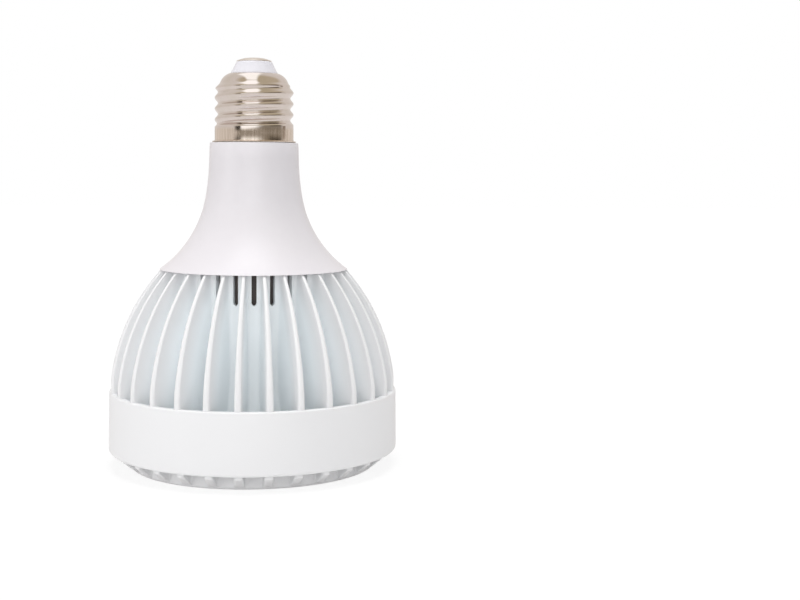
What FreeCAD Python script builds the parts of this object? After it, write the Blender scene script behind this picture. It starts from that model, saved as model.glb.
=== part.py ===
import FreeCAD, Part
import Sketcher
import math
import os
import re

# Screw-cap spotlight bulb with a die-cast finned heat sink, standing on its front ring.
# Origin: centre of the front ring's lowest plane. +Z runs along the axis to the screw cap.
# All sizes are in millimetres and degrees. Heights are measured from the front ring.

SIZES = {
    # Heat sink: fins
    "fin_count": 30,
    "fin_thickness": 3.0,
    "fin_draft": 0.84,
    "fin_root_round": 1.0,
    "crest_radius": 65.6,
    "crest_level": 21.3,
    "sink_top": 65.2,
    # Heat sink: rim band and front ring
    "rim_radius": 47.5,
    "band_wall": 2.4,
    "band_low": 5.4,
    "band_top": 25.2,
    "band_low_round": 2.2,
    "band_bevel": 0.4,
    "window_depth": 4.4,
    "ring_wall": 2.7,
    "ring_bevel": 0.6,
    "ring_back": 7.0,
    "ring_foot": 1.0,
    # Heat sink: core, lens cup and vent slots
    "core_radius": 27.6,
    "core_wall": 2.6,
    "flare_top": 38.0,
    "cup_wall": 3.0,
    "lens_seat": 4.0,
    "lens_seat_step": 1.8,
    "floor_front": 30.0,
    "floor_thickness": 4.0,
    "slot_width": 1.55,
    "slot_height": 9.8,
    # Lens
    "lens_recess": 1.6,
    "lens_gap": 0.7,
    "lens_barrel_play": 1.6,
    "lens_wall_bulge": 2.0,
    "lens_neck_radius": 14.6,
    "lens_neck_gap": 0.3,
    "lens_well_radius": 12.4,
    "lens_well_taper": 0.7,
    "lens_well_depth": 16.0,
    "lens_dome_height": 4.5,
    "lens_dish_radius": 14.8,
    "lens_dish_taper": 0.5,
    "lens_dish_depth": 3.0,
    "seal_play": 0.05,
    # Light source
    "source_side": 22.0,
    "source_thickness": 1.0,
    "source_play": 0.15,
    "phosphor_radius": 8.5,
    "phosphor_thickness": 0.6,
    "pad_thickness": 0.3,
    "holder_radius": 17.5,
    "holder_bore": 9.8,
    "holder_thickness": 2.5,
    "holder_flat": 16.5,
    "holder_screw_circle": 14.2,
    "holder_screw_radius": 1.0,
    "holder_screw_cone": 90.0,
    "holder_screw_head": 2.1,
    "holder_screw_length": 6.0,
    # Housing screws and wire holes
    "screw_play": 0.15,
    "pilot_play": 0.05,
    "pillar_gap": 0.4,
    "pillar_radius": 3.0,
    "pillar_rise": 5.8,
    "housing_screw_radius": 1.5,
    "housing_screw_head": 2.6,
    "housing_screw_head_height": 1.8,
    "housing_screw_length": 12.0,
    "housing_screw_cross": 1.6,
    "housing_screw_cross_wall": 0.4,
    "wire_hole_radius": 1.9,
    "wire_hole_inset": 4.6,
    # Neck
    "lip_overhang": 3.5,
    "neck_wall": 2.0,
    "neck_curve_rise": 24.1,
    "neck_spread": 1.25,
    "neck_taper_rise": 36.5,
    "neck_taper": 0.12,
    "neck_height": 41.8,
    "neck_step": 1.7,
    "neck_bevel": 0.3,
    "collar_play": 0.2,
    "collar_wall": 2.2,
    "collar_height": 4.0,
    "flange_height": 2.0,
    "flange_ledge": 1.0,
    # Driver cup
    "tub_play": 0.3,
    "tub_wall": 1.0,
    "tub_floor": 1.2,
    "guide_length": 2.4,
    "guide_wall": 1.2,
    "guide_height": 12.0,
    "guide_play": 0.15,
    # Screw cap
    "skirt_radius": 13.1,
    "skirt_flare": 0.4,
    "skirt_height": 5.2,
    "shell_wall": 0.4,
    "thread_pitch": 3.62,
    "thread_depth": 1.0,
    "thread_foot": 2.5,
    "thread_crest": 0.6,
    "thread_rise": 0.5,
    "thread_turns": 3.5,
    "thread_height": 14.2,
    "shell_shoulder": 1.2,
    "shell_collar_step": 1.4,
    "shell_dome": 2.1,
    "shell_dome_width": 1.8,
    "insulator_play": 0.1,
    "insulator_shoulder": 1.0,
    "insulator_sink": 0.9,
    "insulator_rise": 4.4,
    "insulator_top_radius": 5.4,
    "insulator_bend": 10.0,
    "contact_border": 0.6,
    "contact_rim": 0.6,
    "contact_face_radius": 3.6,
    "contact_sink": 0.4,
    "contact_height": 1.3,
    "stem_radius": 1.2,
    "stem_length": 2.2,
    # Driver board
    "board_face": -2.8,
    "board_thickness": 1.6,
    "board_edge_gap": 2.7,
    "board_shoulder_drop": 5.2,
    "board_neck_rise": 16.8,
    "board_neck_width": 22.0,
    "board_top_drop": 3.0,
    # Transformer
    "transformer_rise": 4.8,
    "core_width": 24.0,
    "core_depth": 12.0,
    "core_height": 20.0,
    "core_plate": 3.0,
    "core_leg": 2.6,
    "core_post_radius": 4.0,
    "bobbin_play": 0.15,
    "bobbin_wall": 1.0,
    "bobbin_flange_radius": 8.9,
    "bobbin_foot": 0.6,
    "bobbin_foot_width": 12.0,
    "winding_play": 0.1,
    "winding_radius": 8.3,
    # Capacitors, choke and small components
    "input_can_radius": 5.0,
    "input_can_length": 20.0,
    "input_can_drop": 4.0,
    "output_can_radius": 4.0,
    "output_can_length": 16.0,
    "output_can_gap": 0.8,
    "can_groove": 0.4,
    "can_groove_level": 2.0,
    "film_width": 10.0,
    "film_depth": 5.0,
    "film_height": 8.0,
    "film_gap": 7.0,
    "film_round": 0.8,
    "choke_drop": 28.0,
    "choke_offset": 4.0,
    "choke_height": 7.0,
    "choke_flange_radius": 4.5,
    "choke_flange": 1.2,
    "choke_post_radius": 2.4,
    "choke_winding_radius": 4.2,
    "fuse_radius": 1.4,
    "fuse_length": 7.0,
    "fuse_drop": 2.0,
    "fuse_offset": 5.0,
    "fuse_round": 0.6,
    "rectifier_width": 5.0,
    "rectifier_height": 4.6,
    "rectifier_depth": 2.5,
    "rectifier_drop": 14.0,
    "rectifier_offset": -5.0,
    "chip_width": 3.9,
    "chip_height": 4.9,
    "chip_depth": 1.5,
    "chip_rise": 21.8,
    "chip_leg_count": 4,
    "chip_leg_pitch": 1.27,
    "chip_leg_width": 0.45,
    "chip_leg_reach": 1.0,
    "chip_leg_thickness": 0.4,
    "transistor_width": 6.6,
    "transistor_height": 6.1,
    "transistor_depth": 2.3,
    "transistor_rise": 10.8,
    "transistor_offset": -11.0,
    "transistor_tab": 1.2,
    "transistor_tab_thickness": 0.5,
    "diode_width": 5.0,
    "diode_height": 3.4,
    "diode_depth": 2.4,
    "diode_rise": 8.8,
    "diode_offset": 12.0,
    # Leads
    "wire_radius": 0.6,
    "mains_lead_offset": 4.0,
    "mains_lead_drop": 7.0,
    "mains_lead_rise": 3.0,
    "neutral_end_rise": 6.3,
    "live_end_run": 9.0,
    "lead_end_gap": 0.3,
    "source_lead_rise": 10.8,
    "source_lead_clearance": 3.3,
    "source_lead_spacing": 1.8,
}

# How far a cut runs past the face that it opens, and how far a feature is sunk into its carrier
CUT_MARGIN = 1.0

# The part of a wire's run that a bend at one of its ends may take
BEND_SHARE = 0.45

# Sizes that follow from others
TIES = {
    # Heat sink and lens, from the rim inwards
    "ring_radius": "rim_radius - band_wall - window_depth",
    "ring_bore": "ring_radius - ring_wall",
    "lens_seat_bore": "ring_bore - lens_seat_step",
    "lens_barrel_radius": "lens_seat_bore - lens_barrel_play",
    "lens_back": "holder_front - lens_neck_gap",
    "lens_wall_chord": "sqrt((lens_barrel_radius - lens_neck_radius)^2 + (lens_back - lens_seat)^2)",
    "lens_wall_radius": "lens_wall_chord^2 / (8 * lens_wall_bulge) + lens_wall_bulge / 2",
    "core_bore": "core_radius - core_wall",
    # The arc by which the lens cup flares out of the core and meets it without a corner
    "flare_width": "ring_radius - core_radius",
    "flare_radius": "(flare_width^2 + (flare_top - ring_back)^2) / (2 * flare_width)",
    # Light source, screws and driver cup, from the cup's floor
    "floor_back": "floor_front + floor_thickness",
    "source_front": "floor_front - pad_thickness - source_thickness",
    "holder_front": "floor_front - holder_thickness",
    "screw_start": "floor_front - housing_screw_head_height",
    "pillar_circle": "core_bore - pillar_gap - pillar_radius",
    "wire_hole_offset": "core_bore - wire_hole_inset",
    "tub_radius": "core_bore - tub_play",
    "tub_floor_top": "floor_back + tub_floor",
    # Neck and cap, from the heat sink's top upwards and from the skirt inwards
    "lip_radius": "core_radius + lip_overhang",
    "pillar_top": "sink_top + pillar_rise",
    "neck_curve_level": "sink_top + neck_curve_rise",
    "neck_taper_level": "sink_top + neck_taper_rise",
    "neck_top": "sink_top + neck_height",
    "neck_top_radius": "skirt_radius + neck_step",
    "neck_taper_radius": "neck_top_radius + neck_taper",
    "neck_curve_radius": "neck_top_radius + neck_spread",
    # The neck's angles from the upright at and below its upper curve, and its hollow's arc
    "neck_start": "atan(neck_taper / (neck_top - neck_taper_level))",
    "neck_turn": "atan((neck_curve_radius - neck_taper_radius) / (neck_taper_level - neck_curve_level))",
    "neck_fall": "atan((lip_radius - neck_curve_radius) / (neck_curve_level - sink_top))",
    "neck_chord": "sqrt((lip_radius - neck_curve_radius)^2 + (neck_curve_level - sink_top)^2)",
    "neck_hollow_bend": "neck_chord / (2 * sin(neck_fall - 2 * neck_turn + neck_start)) + neck_wall",
    "collar_radius": "skirt_radius - shell_wall - collar_play",
    "collar_top": "neck_top + collar_height",
    "skirt_end": "neck_top + skirt_height",
    "thread_root": "skirt_radius - thread_depth",
    "thread_top": "skirt_end + thread_height",
    "shell_collar_level": "thread_top + shell_shoulder",
    "shell_collar_radius": "thread_root - shell_collar_step",
    "shell_top": "shell_collar_level + shell_dome",
    "shell_mouth": "shell_collar_radius - shell_dome_width",
    "insulator_base": "thread_top - insulator_sink",
    "insulator_top": "shell_top + insulator_rise",
    "contact_radius": "insulator_top_radius - contact_border",
    "contact_seat": "insulator_top - contact_sink",
    "cap_top": "contact_seat + contact_height",
    # Driver board and what stands on it
    "board_width": "2 * (tub_radius - tub_wall - board_edge_gap)",
    "board_back": "board_face + board_thickness",
    "board_shoulder": "sink_top - board_shoulder_drop",
    "board_neck": "sink_top + board_neck_rise",
    "board_top": "neck_top - board_top_drop",
    "core_level": "tub_floor_top + transformer_rise + core_height / 2",
    "window_height": "core_height - 2 * core_plate",
    "bobbin_offset": "board_back + bobbin_foot + bobbin_flange_radius",
    "input_can_level": "board_top - input_can_drop - input_can_length",
    "output_can_offset": "board_width / 2 - output_can_radius",
    "output_can_level": "tub_floor_top + guide_height + output_can_gap",
    "film_level": "core_level + core_height / 2 + film_gap",
    "choke_level": "board_top - choke_drop",
    "fuse_level": "board_top - fuse_drop",
    "rectifier_level": "board_top - rectifier_drop",
    "chip_level": "tub_floor_top + chip_rise",
    "transistor_level": "tub_floor_top + transistor_rise",
    "diode_level": "tub_floor_top + diode_rise",
    # Leads
    "mains_lead_start": "board_top - mains_lead_drop",
    "mains_lead_turn": "neck_top + mains_lead_rise",
    "neutral_end_level": "skirt_end + neutral_end_rise",
    "source_lead_start": "tub_floor_top + source_lead_rise",
    "source_lead_level": "tub_floor_top + source_lead_clearance",
}

doc = FreeCAD.newDocument("par_spotlight_bulb")
sizes = doc.addObject("Spreadsheet::Sheet", "sizes")
for row, (word, size) in enumerate(SIZES.items(), 1):
    sizes.set(f"A{row}", word)
    sizes.set(f"B{row}", str(size))
    sizes.setAlias(f"B{row}", word)
doc.recompute()


def linked(expression):
    """The expression with each tied word spelled out and each size word pointed at the sheet."""
    def spell(match):
        word = match[0]
        if word in TIES:
            return f"({linked(TIES[word])})"
        return f"sizes.{word}" if word in SIZES else word
    return re.sub(r"[a-z_]+", spell, str(expression))


def amount(expression):
    """The number that an expression on the sheet gives."""
    return float(sizes.evalExpression(linked(expression)))


def tie(feature, name, expression):
    """Bind a property of a feature to the sheet."""
    feature.setExpression(name, linked(expression))


def new_body(label, x="0", y="0", z="0"):
    """An empty body at its place in the assembly."""
    body = doc.addObject("PartDesign::Body", label)
    body.Label = label
    body.AllowCompound = True
    for axis, place in zip("xyz", (x, y, z)):
        tie(body, f"Placement.Base.{axis}", place)
    return body


def origin_part(body, role):
    """One of the body's own origin planes or axes."""
    return next(part for part in body.Origin.OriginFeatures if part.Role == role)


def sketch_on(body, role, height="0", turn="0"):
    """An empty sketch on an origin plane, moved along its normal and turned about it."""
    sketch = body.newObject("Sketcher::SketchObject", body.Name + "_sketch")
    sketch.AttachmentSupport = (origin_part(body, role), [""])
    sketch.MapMode = "FlatFace"
    tie(sketch, "AttachmentOffset.Base.z", height)
    tie(sketch, "AttachmentOffset.Rotation.Angle", turn)
    return sketch


def arc_between(start, end, radius):
    """An arc whose centre is left of the way from start to end, or right for a negative radius."""
    chord = end - start
    left = FreeCAD.Vector(-chord.y, chord.x, 0).normalize()
    reach = math.sqrt(max(radius * radius - chord.Length ** 2 / 4, 0))
    centre = (start + end) / 2 + left * math.copysign(reach, radius)
    first, last = (start, end) if radius > 0 else (end, start)
    angles = [math.atan2(point.y - centre.y, point.x - centre.x) for point in (first, last)]
    circle = Part.Circle(centre, FreeCAD.Vector(0, 0, 1), abs(radius))
    return Part.ArcOfCircle(circle, *angles), centre


def draw(sketch, corners):
    """Draw one closed outline and tie its corners to the sheet.

    A corner is (x, y), reached by a straight line; (x, y, radius), reached by an arc with its
    centre left of the way, or right for a radius that starts with a minus; or
    (x, y, "tangent"), reached by an arc that carries on from the line or arc before it.
    """
    points = [FreeCAD.Vector(amount(corner[0]), amount(corner[1]), 0) for corner in corners]
    ends = []
    heading = None
    for index, corner in enumerate(corners):
        start, end = points[index - 1], points[index]
        bend = corner[2] if len(corner) > 2 else None
        if bend is None:
            curve, turn = Part.LineSegment(start, end), 1
            heading = (end - start).normalize()
        else:
            if bend == "tangent":
                left = FreeCAD.Vector(-heading.y, heading.x, 0)
                radius = (end - start).Length ** 2 / (2 * (end - start).dot(left))
            else:
                radius = math.copysign(amount(bend.lstrip("-")), -1 if bend.startswith("-") else 1)
            curve, centre = arc_between(start, end, radius)
            turn = math.copysign(1, radius)
            spoke = (end - centre) * turn
            heading = FreeCAD.Vector(-spoke.y, spoke.x, 0).normalize()
        number = sketch.addGeometry(curve)
        ends.append((number, 1, 2) if turn > 0 else (number, 2, 1))
    rules = []
    for index, corner in enumerate(corners):
        here, after = ends[index], ends[(index + 1) % len(ends)]
        smooth = corners[(index + 1) % len(ends)][2:] == ("tangent",)
        rules.append((Sketcher.Constraint("Tangent" if smooth else "Coincident",
                                          here[0], here[2], after[0], after[1]), None))
        for kind, place, size in zip(("DistanceX", "DistanceY"), corner[:2], points[index]):
            rules.append((Sketcher.Constraint(kind, -1, 1, here[0], here[2], size), place))
        if len(corner) > 2 and corner[2] != "tangent":
            bend = corner[2].lstrip("-")
            rules.append((Sketcher.Constraint("Radius", here[0], amount(bend)), bend))
    numbers = sketch.addConstraint([rule for rule, _ in rules])
    for number, (_, expression) in zip(numbers, rules):
        if expression is not None:
            tie(sketch, f"Constraints[{number}]", expression)


def draw_circle(sketch, x, y, radius):
    """Draw one full circle and tie its centre and radius to the sheet."""
    centre = FreeCAD.Vector(amount(x), amount(y), 0)
    number = sketch.addGeometry(Part.Circle(centre, FreeCAD.Vector(0, 0, 1), amount(radius)))
    rules = ((Sketcher.Constraint("DistanceX", -1, 1, number, 3, centre.x), x),
             (Sketcher.Constraint("DistanceY", -1, 1, number, 3, centre.y), y),
             (Sketcher.Constraint("Radius", number, amount(radius)), radius))
    for rule, expression in rules:
        tie(sketch, f"Constraints[{sketch.addConstraint(rule)}]", expression)


def draw_box(sketch, x_low, y_low, x_high, y_high):
    """Draw one upright rectangle between two corners."""
    draw(sketch, [(x_low, y_low), (x_high, y_low), (x_high, y_high), (x_low, y_high)])


def extrude(body, sketch, length, kind="PartDesign::Pad", back=False, both=False, taper=None):
    """Pad or pocket a sketch, along its normal or against it, or to both sides."""
    feature = body.newObject(kind, body.Name + "_extrusion")
    feature.Profile = sketch
    feature.Reversed = back
    if both:
        feature.SideType = "Symmetric"
    tie(feature, "Length", length)
    if taper is not None:
        tie(feature, "TaperAngle", taper)
    return feature


def turned(body, sketch, kind="PartDesign::Revolution", axis="Z_Axis"):
    """Turn a sketch about one of the body's axes, as added or as removed material."""
    feature = body.newObject(kind, body.Name + "_turning")
    feature.Profile = sketch
    feature.ReferenceAxis = (origin_part(body, axis), [""])
    feature.Angle = 360
    return feature


def repeated(body, features, count):
    """Repeat features around the body's vertical axis."""
    pattern = body.newObject("PartDesign::PolarPattern", body.Name + "_pattern")
    pattern.Originals = features
    pattern.Axis = (origin_part(body, "Z_Axis"), [""])
    pattern.Angle = 360
    tie(pattern, "Occurrences", count)
    body.Tip = pattern
    return pattern


def rounded(body, choose, radius):
    """Round the edges of the body's newest feature that a test picks out."""
    doc.recompute()
    base = body.Tip
    names = [f"Edge{number}" for number, edge in enumerate(base.Shape.Edges, 1) if choose(edge)]
    fillet = body.newObject("PartDesign::Fillet", body.Name + "_rounding")
    fillet.Base = (base, names)
    tie(fillet, "Radius", radius)
    return fillet


def crest_at(level):
    """Radius of the fins' outer curve at a height."""
    return f"(rim_radius - crest_radius + sqrt(crest_radius^2 - ({level} - crest_level)^2))"


def heat_sink():
    """The die casting: fins around a core that flares into the lens cup, held by a rim band."""
    body = new_body("heat_sink")

    # One drafted fin with rounded feet, repeated around the core
    fin = sketch_on(body, "XY_Plane", turn="270 + 180 / fin_count")
    half = "fin_thickness / 2"
    foot = "fin_thickness / 2 + fin_root_round"
    root = "core_bore"
    end = "rim_radius + band_top * tan(fin_draft)"
    draw(fin, [(root, f"-({foot})"), ("core_radius", f"-({foot})"),
               ("core_radius + fin_root_round", f"-{half}", "-fin_root_round"),
               (end, f"-{half}"), (end, half), ("core_radius + fin_root_round", half),
               ("core_radius", foot, "-fin_root_round"), (root, foot)])
    plate = extrude(body, fin, "sink_top", taper="-fin_draft")
    repeated(body, [plate], "fin_count")

    # The fins' outer curve, and their slanted lower edges between band and front ring
    crest = sketch_on(body, "XZ_Plane")
    outside = f"rim_radius + {CUT_MARGIN}"
    above = f"(sink_top + {CUT_MARGIN})"
    inside_band = "rim_radius - band_wall / 2"
    slope = "(band_low - ring_foot) / (rim_radius - band_wall - ring_radius)"
    below_band = f"(band_top - {CUT_MARGIN})"
    draw(crest, [(outside, f"-{CUT_MARGIN}"), (outside, above), (crest_at(above), above),
                 (crest_at(below_band), below_band, "-crest_radius"), (inside_band, below_band),
                 (inside_band, f"band_low + band_wall / 2 * {slope}"),
                 ("ring_radius - ring_bevel", f"ring_foot - ring_bevel * {slope}"),
                 ("ring_radius - ring_bevel", f"-{CUT_MARGIN}")])
    turned(body, crest, "PartDesign::Groove")

    # Core with the driver's chamber, flared cup and front ring, and the rim band
    shell = sketch_on(body, "XZ_Plane")
    draw(shell, [("0", "0"), ("ring_radius - ring_bevel", "0"), ("ring_radius", "ring_bevel"),
                 ("ring_radius", "ring_back"), ("core_radius", "flare_top", "-flare_radius"),
                 ("core_radius", "sink_top"), ("core_bore", "sink_top"), ("core_bore", "floor_back"),
                 ("0", "floor_back")])
    draw(shell, [("rim_radius - band_wall", "band_low"), ("rim_radius - band_low_round", "band_low"),
                 ("rim_radius", "band_low + band_low_round", "band_low_round"),
                 ("rim_radius", "band_top - band_bevel"), ("rim_radius - band_bevel", "band_top"),
                 ("rim_radius - band_wall", "band_top")])
    turned(body, shell)

    # Lens cup with its seat, open to the front
    cup = sketch_on(body, "XZ_Plane")
    axis = "(core_radius + flare_radius)"
    inner = "(flare_radius + cup_wall)"
    seat_end = f"flare_top - sqrt({inner}^2 - ({axis} - lens_seat_bore)^2)"
    floor_end = f"{axis} - sqrt({inner}^2 - (flare_top - floor_front)^2)"
    draw(cup, [("0", f"-{CUT_MARGIN}"), ("ring_bore", f"-{CUT_MARGIN}"), ("ring_bore", "lens_seat"),
               ("lens_seat_bore", "lens_seat"), ("lens_seat_bore", seat_end),
               (floor_end, "floor_front", f"-{inner}"), ("0", "floor_front")])
    turned(body, cup, "PartDesign::Groove")

    # A vent slot between each two fins, open at the top of the core
    slot = sketch_on(body, "XZ_Plane", height=f"core_radius + {CUT_MARGIN}")
    slot_end = "sink_top - slot_height + slot_width / 2"
    draw(slot, [("-slot_width / 2", f"sink_top + {CUT_MARGIN}"), ("-slot_width / 2", slot_end),
                ("slot_width / 2", slot_end, "tangent"), ("slot_width / 2", f"sink_top + {CUT_MARGIN}")])
    vent = extrude(body, slot, f"core_radius - core_bore + 2 * {CUT_MARGIN}", "PartDesign::Pocket")
    repeated(body, [vent], "fin_count")

    # Holes in the floor for the housing screws, the light source's screws and its leads
    holes = sketch_on(body, "XY_Plane", height="floor_back")
    draw_floor_holes(holes, "housing_screw_radius + screw_play")
    for side in ("", "-"):
        draw_circle(holes, f"{side}holder_screw_circle", "0", "holder_screw_radius + pilot_play")
    extrude(body, holes, f"floor_thickness + {CUT_MARGIN}", "PartDesign::Pocket")
    return body


def draw_floor_holes(sketch, radius):
    """Three holes on the pillars' circle and the hole for the light source's leads."""
    for angle in (90, 210, 330):
        draw_circle(sketch, f"pillar_circle * cos({angle})", f"pillar_circle * sin({angle})", radius)
    draw_circle(sketch, "0", "-wire_hole_offset", "wire_hole_radius")


def neck_housing():
    """The moulded neck: a hollow bell with a seat flange, a collar for the cap and screw pillars."""
    body = new_body("neck_housing")
    bell = sketch_on(body, "XZ_Plane")
    collar_bore = "collar_radius - collar_wall"
    flange_top = "sink_top + flange_height"
    draw(bell, [(collar_bore, "collar_top"), ("collar_radius", "collar_top"),
                ("collar_radius", "neck_top"), ("neck_top_radius - neck_bevel", "neck_top"),
                ("neck_top_radius", "neck_top - neck_bevel"), ("neck_taper_radius", "neck_taper_level"),
                ("neck_curve_radius", "neck_curve_level", "tangent"), ("lip_radius", "sink_top", "tangent"),
                ("core_bore", "sink_top"), ("core_bore", flange_top),
                ("core_bore + flange_ledge", flange_top),
                ("neck_curve_radius - neck_wall", "neck_curve_level", "-neck_hollow_bend"),
                ("neck_taper_radius - neck_wall", "neck_taper_level"),
                ("neck_top_radius - neck_wall", "neck_top - neck_wall"),
                (collar_bore, "neck_top - neck_wall")])
    turned(body, bell)

    # Three pillars that stand on the heat sink's floor and take the housing screws
    pillar = sketch_on(body, "XY_Plane", height="floor_back")
    draw_circle(pillar, "0", "pillar_circle", "pillar_radius")
    post = extrude(body, pillar, "pillar_top - floor_back")
    pilot = sketch_on(body, "XY_Plane", height="floor_back")
    draw_circle(pilot, "0", "pillar_circle", "housing_screw_radius + pilot_play")
    hole = extrude(body, pilot, f"housing_screw_length - floor_thickness + {CUT_MARGIN}",
                   "PartDesign::Pocket", back=True)
    repeated(body, [post, hole], "3")
    return body


def lens_optic():
    """The clear lens: a flange, a curved barrel that narrows to the light source, a well and a dish."""
    body = new_body("lens_optic")
    outline = sketch_on(body, "XZ_Plane")
    well = "(lens_back - lens_well_depth)"
    dish = "(lens_recess + lens_dish_depth)"
    dome = "((lens_well_radius - lens_well_taper)^2 + lens_dome_height^2) / (2 * lens_dome_height)"
    flange = "ring_bore - lens_gap"
    draw(outline, [("0", dish), ("lens_dish_radius - lens_dish_taper", dish),
                   ("lens_dish_radius", "lens_recess"), (flange, "lens_recess"), (flange, "lens_seat"),
                   ("lens_barrel_radius", "lens_seat"),
                   ("lens_neck_radius", "lens_back", "lens_wall_radius"),
                   ("lens_well_radius", "lens_back"), ("lens_well_radius - lens_well_taper", well),
                   ("0", f"{well} + lens_dome_height", dome)])
    turned(body, outline)
    return body


def lens_seal():
    """The bead that holds the lens flange in the front ring."""
    body = new_body("lens_seal")
    outline = sketch_on(body, "XZ_Plane")
    draw_box(outline, "ring_bore - lens_gap + seal_play", "lens_recess + seal_play",
             "ring_bore - seal_play", "lens_seat")
    turned(body, outline)
    return body


def square_plate(label, low, thickness):
    """A square plate of the light source, flat in the cup."""
    body = new_body(label)
    outline = sketch_on(body, "XY_Plane", height=low)
    draw_box(outline, "-source_side / 2", "-source_side / 2", "source_side / 2", "source_side / 2")
    extrude(body, outline, thickness)
    return body


def thermal_pad():
    """The pad between the light source and the cup's floor."""
    return square_plate("thermal_pad", "floor_front - pad_thickness", "pad_thickness")


def cob_substrate():
    """The light source's metal board."""
    return square_plate("cob_substrate", "source_front", "source_thickness")


def cob_phosphor():
    """The round phosphor layer over the light source's chips."""
    body = new_body("cob_phosphor")
    outline = sketch_on(body, "XY_Plane", height="source_front - phosphor_thickness")
    draw_circle(outline, "0", "0", "phosphor_radius")
    extrude(body, outline, "phosphor_thickness")
    return body


def cob_holder():
    """The moulded ring that clamps the light source to the floor."""
    body = new_body("cob_holder")
    disc = sketch_on(body, "XY_Plane", height="holder_front")
    draw_circle(disc, "0", "0", "holder_radius")
    draw_circle(disc, "0", "0", "holder_bore")
    extrude(body, disc, "holder_thickness")

    # Seat of the light source, and the flat where its leads come in
    seat = sketch_on(body, "XY_Plane", height="floor_front")
    half = "(source_side / 2 + source_play)"
    draw_box(seat, f"-{half}", f"-{half}", half, half)
    extrude(body, seat, "pad_thickness + source_thickness", "PartDesign::Pocket")
    flat = sketch_on(body, "XY_Plane", height="holder_front")
    draw_box(flat, "-holder_radius", f"-holder_radius - {CUT_MARGIN}", "holder_radius", "-holder_flat")
    extrude(body, flat, "holder_thickness", "PartDesign::Pocket", back=True)

    # Countersunk holes for the two screws
    hole = sketch_on(body, "XY_Plane", height="holder_front")
    draw_circle(hole, "holder_screw_circle", "0", "holder_screw_radius + screw_play")
    through = extrude(body, hole, "holder_thickness", "PartDesign::Pocket", back=True)
    sink = sketch_on(body, "XY_Plane", height="holder_front")
    draw_circle(sink, "holder_screw_circle", "0", "holder_screw_head + screw_play")
    cone = extrude(body, sink, "holder_screw_head - holder_screw_radius", "PartDesign::Pocket",
                   back=True, taper="-holder_screw_cone / 2")
    repeated(body, [through, cone], "2")
    return body


def holder_screws():
    """Two countersunk screws through the holder into the floor."""
    body = new_body("holder_screws")
    head = sketch_on(body, "XY_Plane", height="holder_front")
    draw_circle(head, "holder_screw_circle", "0", "holder_screw_head")
    cone = extrude(body, head, "holder_screw_head - holder_screw_radius", taper="-holder_screw_cone / 2")
    shank = sketch_on(body, "XY_Plane", height="holder_front")
    draw_circle(shank, "holder_screw_circle", "0", "holder_screw_radius")
    pin = extrude(body, shank, "holder_screw_length")
    repeated(body, [cone, pin], "2")
    return body


def housing_screws():
    """Three pan-head screws from the cup through the floor into the neck's pillars."""
    body = new_body("housing_screws")
    head = sketch_on(body, "XY_Plane", height="screw_start")
    draw_circle(head, "0", "pillar_circle", "housing_screw_head")
    pan = extrude(body, head, "housing_screw_head_height")
    shank = sketch_on(body, "XY_Plane", height="floor_front")
    draw_circle(shank, "0", "pillar_circle", "housing_screw_radius")
    pin = extrude(body, shank, "housing_screw_length")
    cross = sketch_on(body, "XY_Plane", height="screw_start")
    arm = "housing_screw_cross"
    arm_wall = "housing_screw_cross_wall"
    middle = "pillar_circle"
    draw(cross, [(f"-{arm}", f"{middle} - {arm_wall}"), (f"-{arm_wall}", f"{middle} - {arm_wall}"),
                 (f"-{arm_wall}", f"{middle} - {arm}"), (arm_wall, f"{middle} - {arm}"),
                 (arm_wall, f"{middle} - {arm_wall}"), (arm, f"{middle} - {arm_wall}"),
                 (arm, f"{middle} + {arm_wall}"), (arm_wall, f"{middle} + {arm_wall}"),
                 (arm_wall, f"{middle} + {arm}"), (f"-{arm_wall}", f"{middle} + {arm}"),
                 (f"-{arm_wall}", f"{middle} + {arm_wall}"), (f"-{arm}", f"{middle} + {arm_wall}")])
    recess = extrude(body, cross, "housing_screw_head_height / 2", "PartDesign::Pocket", back=True)
    repeated(body, [pan, pin, recess], "3")
    return body


def driver_tub():
    """The insulating cup that lines the chamber, with guides for the driver board."""
    body = new_body("driver_tub")
    wall = sketch_on(body, "XZ_Plane")
    inner = "(tub_radius - tub_wall)"
    rim = "sink_top - tub_play"
    draw(wall, [("0", "floor_back"), ("tub_radius", "floor_back"), ("tub_radius", rim), (inner, rim),
                (inner, "tub_floor_top"), ("0", "tub_floor_top")])
    turned(body, wall)

    # Room for the neck's pillars beside and below it, and for the light source's leads
    holes = sketch_on(body, "XY_Plane", height="sink_top")
    draw_floor_holes(holes, "pillar_radius + tub_play")
    extrude(body, holes, f"sink_top - floor_back + {CUT_MARGIN}", "PartDesign::Pocket")

    # A pair of ribs on either side holds each long edge of the board
    guides = sketch_on(body, "XY_Plane", height="tub_floor_top")
    near = "board_width / 2 - guide_length"
    far = "tub_radius - tub_wall / 2"
    front = "board_face - guide_play"
    back = "board_back + guide_play"
    for low, high in ((f"{front} - guide_wall", front), (back, f"{back} + guide_wall")):
        draw_box(guides, near, low, far, high)
        draw_box(guides, f"-({far})", low, f"-({near})", high)
    extrude(body, guides, "guide_height")
    return body


def driver_board():
    """The driver's circuit board, wide in the chamber and narrow in the neck."""
    body = new_body("driver_board")
    outline = sketch_on(body, "XZ_Plane", height="-board_face")
    wide = "board_width / 2"
    narrow = "board_neck_width / 2"
    draw(outline, [(f"-{wide}", "tub_floor_top"), (wide, "tub_floor_top"), (wide, "board_shoulder"),
                   (narrow, "board_neck"), (narrow, "board_top"), (f"-{narrow}", "board_top"),
                   (f"-{narrow}", "board_neck"), (f"-{wide}", "board_shoulder")])
    extrude(body, outline, "board_thickness", back=True)
    return body


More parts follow.
